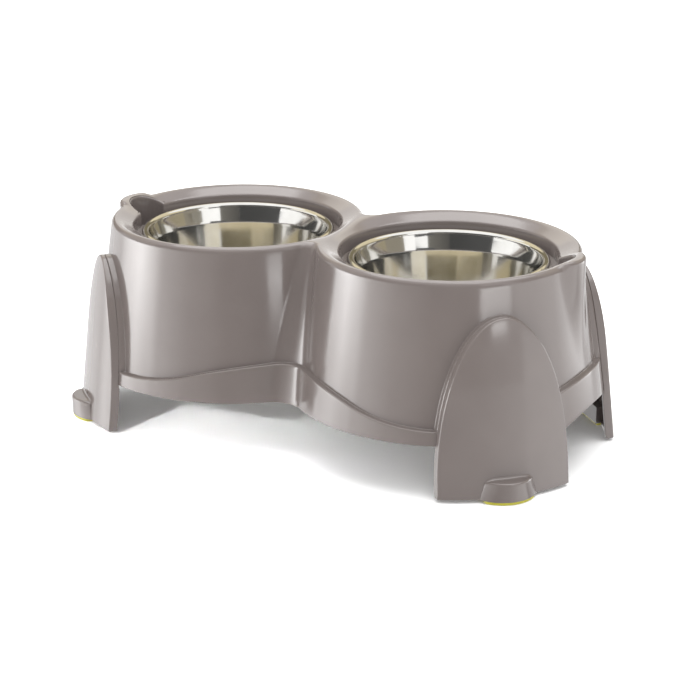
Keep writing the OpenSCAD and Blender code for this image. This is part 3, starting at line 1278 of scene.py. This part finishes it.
@dataclass
class SteelBowl:
    """A drawn steel bowl with a flared shoulder and a rolled rim."""

    side: Side
    layout: Layout = field(default_factory=Layout)
    radius: float = 100.0
    rim_z: float = 190.0
    depth: float = 70.0
    sheet_t: float = 1.2
    bead_r: float = 4.0
    shoulder_h: float = 15.0
    shoulder_lean: float = 17.0
    lean: float = 9.0
    bend: float = 14.0
    crease: float = 2.2
    bead_turn: float = 270.0
    floor_steps: int = 10
    bend_steps: int = 14
    wall_steps: int = 6
    crease_steps: int = 5
    shoulder_steps: int = 5
    bead_steps: int = 30
    steps: int = 192
    sharp: float = 60.0

    def wall(self, inset: float) -> list[Pair]:
        """Draws the bowl's wall from the axis up to the bead.

        Args:
            inset: 0 for the outside of the sheet, its thickness for the inside.

        Returns:
            Points (radius, height).
        """
        bead_z = self.rim_z - self.bead_r
        top_r = self.radius - 2 * self.bead_r + self.sheet_t
        shoulder_r = top_r - self.shoulder_h * math.tan(math.radians(self.shoulder_lean))
        shoulder_z = bead_z - self.shoulder_h
        lean = math.radians(self.lean)
        centre_z = self.rim_z - self.depth + self.bend
        centre_r = (
            shoulder_r - (shoulder_z - centre_z) * math.tan(lean) - self.bend / math.cos(lean)
        )
        bend = self.bend - inset
        n = self.bend_steps
        turns = [mix(-QUARTER, -lean, i / n) for i in range(n + 1)]
        low = centre_z - bend
        points = [(centre_r * i / self.floor_steps, low) for i in range(self.floor_steps)]
        points += [(centre_r + bend * math.cos(t), centre_z + bend * math.sin(t)) for t in turns]
        foot, knee, top = points[-1], (shoulder_r - inset, shoulder_z), (top_r - inset, bead_z)
        near = between(knee, foot, self.crease / (knee[1] - foot[1]))
        far = between(knee, top, self.crease / self.shoulder_h)
        n = self.wall_steps
        points += [between(foot, near, i / n) for i in range(1, n + 1)]
        n = self.crease_steps
        points += [bow(near, knee, far, i / n) for i in range(1, n + 1)]
        n = self.shoulder_steps
        return points + [between(far, top, i / n) for i in range(1, n)]

    def bead(self, radius: float) -> list[Pair]:
        """Draws the rolled rim over from the wall, outwards and round to its foot.

        Args:
            radius: The roll's radius, outside or inside the sheet.

        Returns:
            Points (radius, height).
        """
        centre = (self.radius - self.bead_r, self.rim_z - self.bead_r)
        sweep, n = math.radians(self.bead_turn), self.bead_steps
        turns = [math.pi - sweep * i / n for i in range(n + 1)]
        return [
            (centre[0] + radius * math.cos(t), centre[1] + radius * math.sin(t)) for t in turns
        ]

    def build(self) -> bpy.types.Object:
        """Spins the bowl's section.

        Returns:
            The bowl.
        """
        inside = self.wall(self.sheet_t) + self.bead(self.bead_r)
        outside = self.wall(0.0) + self.bead(self.bead_r - self.sheet_t)
        section = [(radius, 0.0, height) for radius, height in inside + outside[::-1]]
        sheet = Sheet()
        draw_and_spin(sheet.bm, section, FULL_TURN, self.steps)
        sheet.join()
        sheet.face_up()
        shift = self.side.value * self.layout.half
        bmesh.ops.translate(sheet.bm, vec=(shift, 0.0, 0.0), verts=sheet.bm.verts[:])
        return sheet.finish(f"{self.side.name.lower()}_steel_bowl", self.sharp)


class NodeBench:
    """A material's node tree, with short ways to add and join nodes."""

    def __init__(self, name: str) -> None:
        """Starts a material with a fresh Principled shader.

        Args:
            name: The material's name.
        """
        self.material = bpy.data.materials.new(name)
        self.material.use_nodes = True
        self.tree = self.material.node_tree
        self.tree.nodes.clear()
        self.shader = self.add("ShaderNodeBsdfPrincipled")
        out = self.add("ShaderNodeOutputMaterial")
        self.join(self.shader, "BSDF", out, "Surface")
        self.place = self.add("ShaderNodeTexCoord")
        self.centre = self.add("ShaderNodeMapping")
        self.join(self.place, "Object", self.centre, "Vector")

    def add(self, kind: str, **sockets: object) -> bpy.types.Node:
        """Adds a node and sets its named inputs.

        Args:
            kind: The node's type.
            sockets: Values by input name, with _ for a space.

        Returns:
            The node.
        """
        node = self.tree.nodes.new(kind)
        for name, value in sockets.items():
            node.inputs[name.replace("_", " ")].default_value = value
        return node

    def join(self, source: bpy.types.Node, out: str, target: bpy.types.Node, into: str) -> None:
        """Links one node's output to another's input by their names."""
        self.tree.links.new(source.outputs[out], target.inputs[into])

    def noise(self, scale: float, detail: float) -> bpy.types.Node:
        """Adds a noise on the centred object coordinates.

        Args:
            scale: Cycles per metre.
            detail: Octaves.

        Returns:
            The noise.
        """
        node = self.add("ShaderNodeTexNoise", Scale=scale, Detail=detail)
        self.join(self.centre, "Vector", node, "Vector")
        return node

    def spread(
        self, source: bpy.types.Node, out: str, span: Pair, target: Pair, into: str
    ) -> None:
        """Maps a node's range to another range and feeds it to the shader.

        Args:
            source: The node that varies.
            out: Its output.
            span: The range that it is taken to cover.
            target: The range that the shader gets.
            into: The shader's input.
        """
        ends = {"From_Min": span[0], "From_Max": span[1], "To_Min": target[0], "To_Max": target[1]}
        node = self.add("ShaderNodeMapRange", **ends)
        self.join(source, out, node, "Value")
        self.join(node, "Result", self.shader, into)

    def tint(
        self, source: bpy.types.Node, span: Pair, colours: tuple[Triple, Triple], into: str
    ) -> None:
        """Feeds one of the shader's colours from a node, between two colours.

        Args:
            source: The node that varies.
            span: Its values for the two colours.
            colours: The two colours.
            into: The shader's input.
        """
        ramp = self.add("ShaderNodeValToRGB")
        for stop, place, colour in zip(ramp.color_ramp.elements, span, colours):
            stop.position = place
            stop.color = (*colour, 1.0)
        self.join(source, "Fac", ramp, "Fac")
        self.join(ramp, "Color", self.shader, into)

    def stack(self, layers: Sequence[Layer]) -> None:
        """Stacks bumps on the shader's normal.

        Args:
            layers: (node, its output, strength, depth in millimetres), widest first.
        """
        top = None
        for source, out, strength, depth in layers:
            bump = self.add("ShaderNodeBump", Strength=strength, Distance=depth * MM)
            self.join(source, out, bump, "Height")
            if top is not None:
                self.join(top, "Normal", bump, "Normal")
            top = bump
        self.join(top, "Normal", self.shader, "Normal")


@dataclass(frozen=True)
class Finish:
    """A finish: two tones, a range of roughness, the grain of both, and its bumps.

    A grain is a noise's (cycles per metre, octaves), and a bump adds (strength, depth in
    millimetres) to that.
    """

    low: Triple
    high: Triple
    rough: Pair
    tone_grain: Pair
    rough_grain: Pair
    bumps: tuple[tuple[float, float, float, float], ...]
    metallic: float = 0.0
    ior: float = 1.5

    def layers(self, bench: NodeBench) -> list[Layer]:
        """Adds the noises of the bumps to a bench."""
        return [(bench.noise(*bump[:2]), "Fac", *bump[2:]) for bump in self.bumps]

    def material(self, name: str) -> bpy.types.Material:
        """Makes the finish.

        Args:
            name: The material's name.

        Returns:
            The material.
        """
        bench = NodeBench(name)
        tones = (self.low, self.high)
        bench.tint(bench.noise(*self.tone_grain), NOISE_SPAN, tones, "Base Color")
        grain = bench.noise(*self.rough_grain)
        bench.spread(grain, "Fac", NOISE_SPAN, self.rough, "Roughness")
        bench.stack(self.layers(bench))
        bench.shader.inputs["Metallic"].default_value = self.metallic
        bench.shader.inputs["IOR"].default_value = self.ior
        return bench.material


@dataclass(frozen=True)
class MouldedPlastic(Finish):
    """Glossy injection-moulded plastic with faint flow, sink and orange peel."""

    low: Triple = (0.124, 0.105, 0.099)
    high: Triple = (0.133, 0.113, 0.106)
    rough: Pair = (0.13, 0.17)
    tone_grain: Pair = (18.0, 2.0)
    rough_grain: Pair = (45.0, 2.0)
    bumps: tuple = ((16.0, 1.0, 1.0, 0.12), (210.0, 1.0, 1.0, 0.006))


@dataclass(frozen=True)
class PolishedSteel(Finish):
    """Spun and polished stainless steel, with faint rings round the bowl's own axis."""

    low: Triple = (0.72, 0.71, 0.68)
    high: Triple = (0.80, 0.79, 0.765)
    rough: Pair = (0.07, 0.11)
    tone_grain: Pair = (35.0, 2.0)
    rough_grain: Pair = (60.0, 3.0)
    bumps: tuple = ((40.0, 1.0, 1.0, 0.02),)
    metallic: float = 1.0
    side: Side = Side.LEFT
    half: float = Layout.half
    ring_scale: float = 420.0
    ring_warp: float = 1.5
    ring_octaves: float = 2.0
    ring_depth: float = 0.0006

    def layers(self, bench: NodeBench) -> list[Layer]:
        """Centres the pattern on the bowl and adds the rings to the bumps.

        Args:
            bench: The material's bench.

        Returns:
            The bumps, widest first.
        """
        centre = (-self.side.value * self.half * MM, 0.0, 0.0)
        bench.centre.inputs["Location"].default_value = centre
        sizes = {"Distortion": self.ring_warp, "Detail": self.ring_octaves}
        rings = bench.add("ShaderNodeTexWave", Scale=self.ring_scale, **sizes)
        rings.wave_type = "RINGS"
        rings.rings_direction = "Z"
        bench.join(bench.centre, "Vector", rings, "Vector")
        return super().layers(bench) + [(rings, "Fac", 1.0, self.ring_depth)]


@dataclass(frozen=True)
class PlatedSteel(Finish):
    """Dull plated steel of the hidden screws."""

    low: Triple = (0.42, 0.41, 0.39)
    high: Triple = (0.52, 0.51, 0.49)
    rough: Pair = (0.28, 0.42)
    tone_grain: Pair = (300.0, 3.0)
    rough_grain: Pair = (900.0, 4.0)
    bumps: tuple = ((1500.0, 2.0, 0.15, 0.04),)
    metallic: float = 1.0


@dataclass(frozen=True)
class SoftRubber(Finish):
    """Lime-yellow rubber with a fine matt grain."""

    low: Triple = (0.36, 0.33, 0.022)
    high: Triple = (0.41, 0.38, 0.030)
    rough: Pair = (0.45, 0.62)
    tone_grain: Pair = (80.0, 2.0)
    rough_grain: Pair = (700.0, 3.0)
    bumps: tuple = ((1800.0, 3.0, 0.25, 0.08),)


class Lit(Enum):
    """What a light shines on: everything, or one group of objects."""

    ALL = "everything"
    MATT = "all_but_steel"
    SHELL = "shell_alone"
    LEGS = "legs_alone"
    GROUND = "ground_alone"


@dataclass(frozen=True)
class SoftBox:
    """One rectangular studio light that shines at the stand."""

    name: str
    place: Triple
    size: Pair
    power: float
    lit: Lit = Lit.ALL
    mirrored: bool = True
    aim: Triple = (0.0, 0.0, 0.1)
    spread: float = 180.0

    def build(self, groups: dict[Lit, bpy.types.Collection]) -> bpy.types.Object:
        """Hangs the light.

        Args:
            groups: The groups of objects that lights may be kept to.

        Returns:
            The light.
        """
        lamp = bpy.data.lights.new(self.name, "AREA")
        lamp.shape = "RECTANGLE"
        lamp.size, lamp.size_y = self.size
        lamp.energy = self.power
        lamp.spread = math.radians(self.spread)
        light = bpy.data.objects.new(self.name, lamp)
        light.location = self.place
        toward = Vector(self.aim) - Vector(self.place)
        light.rotation_euler = toward.to_track_quat("-Z", "Y").to_euler()
        light.visible_camera = False
        light.visible_glossy = self.mirrored
        light.light_linking.receiver_collection = groups.get(self.lit)
        bpy.context.scene.collection.objects.link(light)
        return light


LIGHTS = (
    SoftBox("left_light", (-2.0, -1.0, 0.9), (0.8, 1.2), 12.0, mirrored=False),
    SoftBox("front_fill", (1.1, -2.1, 1.2), (1.4, 0.8), 9.0, mirrored=False),
    SoftBox("top_light", (0.0, 0.3, 2.6), (3.2, 2.4), 84.0, Lit.MATT),
    SoftBox("back_gloss", (-0.77, 1.51, 0.8), (1.9, 1.2), 8.0, Lit.MATT),
    SoftBox("right_gloss", (1.55, -0.76, 0.14), (0.72, 0.085), 1.75, Lit.SHELL),
    SoftBox("leg_gloss", (1.55, -0.79, 0.44), (0.34, 0.15), 1.15, Lit.LEGS),
    SoftBox(
        "floor_lift", (-0.6, -2.1, 0.95), (0.6, 0.3), 0.9, Lit.GROUND, False, (-0.3, -0.1, 0.0), 9.0
    ),
)


@dataclass(frozen=True)
class Card:
    """A panel, flag or stretch of studio wall round the table that gloss alone mirrors.

    Azimuths are in degrees, heights in metres, and glows in whites.
    """

    name: str
    azimuths: Pair
    heights: Pair
    first: Triple
    last: Triple
    foot: float = 1.0
    fade: Pair = (-0.25, 0.0)
    facet: float = 4.0

    def build(self, radius: float) -> bpy.types.Object:
        """Stands the card up at a distance from the middle of the table.

        Args:
            radius: The distance in metres.

        Returns:
            The card.
        """
        start, sweep = math.radians(self.azimuths[0]), self.azimuths[1] - self.azimuths[0]
        edge = (radius * math.cos(start), radius * math.sin(start))
        steps = max(2, round(sweep / self.facet))
        bm = bmesh.new()
        draw_and_spin(bm, [(*edge, height) for height in self.heights], sweep, steps)
        card = stand_up(bm, self.name)
        card.data.materials.append(self.material())
        card.visible_camera = False
        card.visible_diffuse = False
        card.visible_transmission = False
        card.visible_shadow = False
        return card

    def material(self) -> bpy.types.Material:
        """Makes the card glow from its first to its last colour, dimmer towards its foot.

        Returns:
            The material.
        """
        bench = NodeBench(self.name)
        middle = (self.azimuths[0] + self.azimuths[1]) / 2.0
        reach = (self.azimuths[1] - self.azimuths[0]) / (2.0 * FULL_TURN)
        peak = max(self.first + self.last)
        bench.centre.inputs["Rotation"].default_value = (0.0, 0.0, -math.radians(middle))
        turn = bench.add("ShaderNodeTexGradient")
        turn.gradient_type = "RADIAL"
        bench.join(bench.centre, "Vector", turn, "Vector")
        glows = tuple(tuple(channel / peak for channel in glow) for glow in (self.first, self.last))
        bench.tint(turn, (0.5 - reach, 0.5 + reach), glows, "Emission Color")
        height = bench.add("ShaderNodeSeparateXYZ")
        bench.join(bench.centre, "Vector", height, "Vector")
        bench.spread(height, "Z", self.fade, (peak * self.foot, peak), "Emission Strength")
        bench.shader.inputs["Base Color"].default_value = (0.0, 0.0, 0.0, 1.0)
        bench.shader.inputs["Specular IOR Level"].default_value = 0.0
        bench.material.cycles.emission_sampling = "NONE"
        return bench.material


def grey(glow: float) -> Triple:
    """Returns a neutral glow."""
    return (glow, glow, glow)


LOW = (-1.2, 0.32)
MIDDLE = (0.36, 0.72)
CARDS = (
    Card("bare_wall", (-180.0, 180.0), (-1.2, 0.95), grey(1.2), grey(1.2)),
    Card("upper_wall", (-180.0, 180.0), (0.95, 1.9), grey(1.2), grey(1.2)),
    Card("left_far_wall", (140.0, 178.0), LOW, grey(0.9), grey(2.3)),
    Card("left_panel_edge", (178.0, 192.0), LOW, grey(2.3), grey(7.5), foot=0.7),
    Card("left_panel", (-168.0, -152.0), LOW, grey(7.5), grey(13.0), foot=0.5),
    Card("left_panel_side", (-152.0, -138.0), LOW, grey(13.0), grey(8.5), foot=0.5),
    Card("left_panel_end", (-138.0, -129.0), LOW, grey(8.5), grey(3.8), foot=0.7),
    Card("left_spill", (-129.0, -104.0), LOW, grey(3.8), grey(1.3)),
    Card("front_spill", (-104.0, -76.0), LOW, grey(1.3), grey(0.15)),
    Card("camera_flag", (-76.0, -45.0), (-0.1, 0.32), grey(0.05), grey(0.1)),
    Card("camera_floor", (-76.0, -36.0), (-1.2, -0.1), grey(0.3), grey(0.9)),
    Card("right_spill", (-45.0, -12.0), (-0.1, 0.4), grey(0.1), grey(1.2)),
    Card("right_floor", (-36.0, 0.0), (-1.2, -0.1), grey(1.0), grey(2.4)),
    Card("right_wall", (-12.0, 24.0), (-1.2, 0.36), grey(2.3), grey(2.6)),
    Card("right_far_wall", (24.0, 60.0), LOW, grey(2.3), grey(5.8), 0.3, (-0.45, -0.2)),
    Card("left_high_panel", (-155.0, -122.0), (0.32, 0.735), grey(1.3), grey(1.3)),
    Card("left_high_wall", (176.0, 217.0), (0.76, 1.9), (1.1, 1.04, 0.88), (1.08, 1.02, 0.9)),
    Card("camera_high_flag", (-143.0, -64.0), (0.735, 1.9), grey(0.1), grey(0.075)),
    Card("camera_low_flag", (-122.0, -64.0), (0.32, 0.735), grey(0.1), grey(0.075)),
    Card("brown_wall", (-64.0, -36.0), (0.32, 1.9), (0.11, 0.105, 0.1), (0.21, 0.2, 0.18)),
    Card("right_flag", (-45.0, -20.0), (0.4, 0.72), grey(0.12), grey(0.12)),
    Card("right_mid_panel", (-20.0, -5.0), MIDDLE, grey(1.3), grey(1.3)),
    Card("right_high_panel", (-36.0, -8.0), (0.72, 1.6), grey(1.3), grey(1.3)),
    Card("right_shade", (-5.0, 22.0), MIDDLE, (0.34, 0.31, 0.25), (0.34, 0.31, 0.25)),
    Card("right_high_shade", (-8.0, 8.0), (0.72, 1.9), (0.32, 0.3, 0.25), (0.3, 0.28, 0.24)),
    Card("dark_post", (8.0, 21.0), (0.7, 1.9), (0.18, 0.165, 0.14), (0.18, 0.165, 0.14)),
    Card("beige_side", (21.0, 88.0), (0.32, 0.87), (0.42, 0.37, 0.26), (0.34, 0.3, 0.2)),
    Card("olive_back", (88.0, 172.0), (0.32, 0.945), (0.22, 0.19, 0.12), (0.22, 0.19, 0.13)),
    Card("beige_curtain", (21.0, 88.0), (0.87, 1.9), (0.82, 0.73, 0.5), (0.88, 0.77, 0.54)),
    Card("beige_back", (88.0, 176.0), (0.945, 1.9), (0.84, 0.74, 0.5), (0.9, 0.8, 0.58)),
)


@dataclass
class Studio:
    """The pale floor, the soft lights and the camera of the photograph."""

    floor_half: float = 9.0
    floor_cells: int = 8
    floor_grain: Pair = (3.0, 2.0)
    floor_tones: Pair = (0.90, 0.92)
    floor_rough: float = 0.9
    sky: Triple = (1.0, 1.0, 1.0)
    sky_glow: float = 1.2
    card_r: float = 2.2
    card_gap: float = 0.01
    azimuth: float = 27.33
    elevation: float = 19.47
    distance: float = 1.82043
    target: Triple = (0.01103, 0.0, 0.07374)
    lens: float = 90.77
    sensor: float = 36.0
    sight: float = 60.0

    def __post_init__(self) -> None:
        """Opens the groups of objects that single lights are kept to."""
        groups = [lit for lit in Lit if lit is not Lit.ALL]
        self.groups = {lit: bpy.data.collections.new(lit.value) for lit in groups}

    def show(self, piece: bpy.types.Object, *groups: Lit) -> None:
        """Puts a piece in the groups of objects that some lights are kept to."""
        for lit in groups:
            self.groups[lit].objects.link(piece)

    def floor(self) -> bpy.types.Object:
        """Lays the pale floor.

        Returns:
            The floor.
        """
        bm = bmesh.new()
        cells, half = self.floor_cells, self.floor_half
        bmesh.ops.create_grid(bm, x_segments=cells, y_segments=cells, size=half)
        piece = stand_up(bm, "floor")
        piece.visible_glossy = False
        bench = NodeBench("floor_white")
        tones = (grey(self.floor_tones[0]), grey(self.floor_tones[1]))
        bench.tint(bench.noise(*self.floor_grain), NOISE_SPAN, tones, "Base Color")
        bench.shader.inputs["Roughness"].default_value = self.floor_rough
        bench.shader.inputs["Specular IOR Level"].default_value = 0.0
        piece.data.materials.append(bench.material)
        return piece

    def lights(self) -> None:
        """Hangs the lights, sets the sky and stands up what the gloss mirrors."""
        world = bpy.data.worlds.new("studio")
        world.use_nodes = True
        world.node_tree.nodes["Background"].inputs["Color"].default_value = (*self.sky, 1.0)
        world.node_tree.nodes["Background"].inputs["Strength"].default_value = self.sky_glow
        bpy.context.scene.world = world
        for light in LIGHTS:
            light.build(self.groups)
        for index, card in enumerate(CARDS):
            card.build(self.card_r - self.card_gap * index)

    def camera(self) -> bpy.types.Object:
        """Sets the camera where the photograph was taken from.

        Returns:
            The camera.
        """
        azimuth, elevation = math.radians(self.azimuth), math.radians(self.elevation)
        flat = math.cos(elevation)
        back = Vector((math.sin(azimuth) * flat, -math.cos(azimuth) * flat, math.sin(elevation)))
        data = bpy.data.cameras.new("camera")
        data.lens = self.lens
        data.sensor_width = self.sensor
        data.clip_end = self.sight
        camera = bpy.data.objects.new("camera", data)
        camera.location = Vector(self.target) + back * self.distance
        camera.rotation_euler = (-back).to_track_quat("-Z", "Y").to_euler()
        bpy.context.scene.collection.objects.link(camera)
        bpy.context.scene.camera = camera
        return camera

    def build(self) -> None:
        """Sets up floor, lights, camera and a plain view of colours."""
        self.show(self.floor(), Lit.MATT, Lit.GROUND)
        self.lights()
        self.camera()
        bpy.context.scene.view_settings.view_transform = "Standard"


def settle(
    piece: bpy.types.Object, material: bpy.types.Material, body: Body
) -> None:
    """Dresses a piece and lets it ride on its body.

    Args:
        piece: The piece.
        material: Its finish.
        body: The body that it moves with.
    """
    piece.data.materials.clear()
    piece.data.materials.append(material)
    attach(piece, body.value)
    log.info("%s: %d faces", piece.name, len(piece.data.polygons))


def redress(name: str, material: bpy.types.Material) -> None:
    """Gives a carried-over CAD node its finish.

    Args:
        name: The node's name.
        material: Its finish.
    """
    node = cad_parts[name]
    for slot in node.material_slots:
        slot.material = material
    if not node.material_slots:
        node.data.materials.append(material)
    log.info("%s: carried over", name)


def main() -> None:
    """Builds the studio and every piece."""
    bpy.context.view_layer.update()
    studio = Studio()
    studio.build()
    plastic = MouldedPlastic().material("moulded_plastic")
    rubber = SoftRubber().material("lime_rubber")

    shell = StandShell().build()
    settle(shell, plastic, Body.STAND)
    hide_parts("stand_body")
    studio.show(shell, Lit.MATT, Lit.SHELL)

    for corner in Corner:
        leg = Leg(corner)
        pieces = leg.build()
        for piece in pieces:
            settle(piece, plastic, Body.STAND)
            studio.show(piece, Lit.MATT, Lit.LEGS)
        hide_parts(f"{corner.label}_leg")
        foot = Foot(leg).build()
        settle(foot, rubber, Body.STAND)
        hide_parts(f"{corner.label}_foot")
        studio.show(foot, Lit.MATT)

    for side, body in ((Side.LEFT, Body.LEFT_BOWL), (Side.RIGHT, Body.RIGHT_BOWL)):
        bowl = SteelBowl(side).build()
        steel = PolishedSteel(side=side).material(f"polished_steel_{side.name.lower()}")
        settle(bowl, steel, body)
        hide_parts(f"{side.name.lower()}_bowl")

    redress("leg_screws", PlatedSteel().material("plated_steel"))


if __name__ == "__main__":
    main()
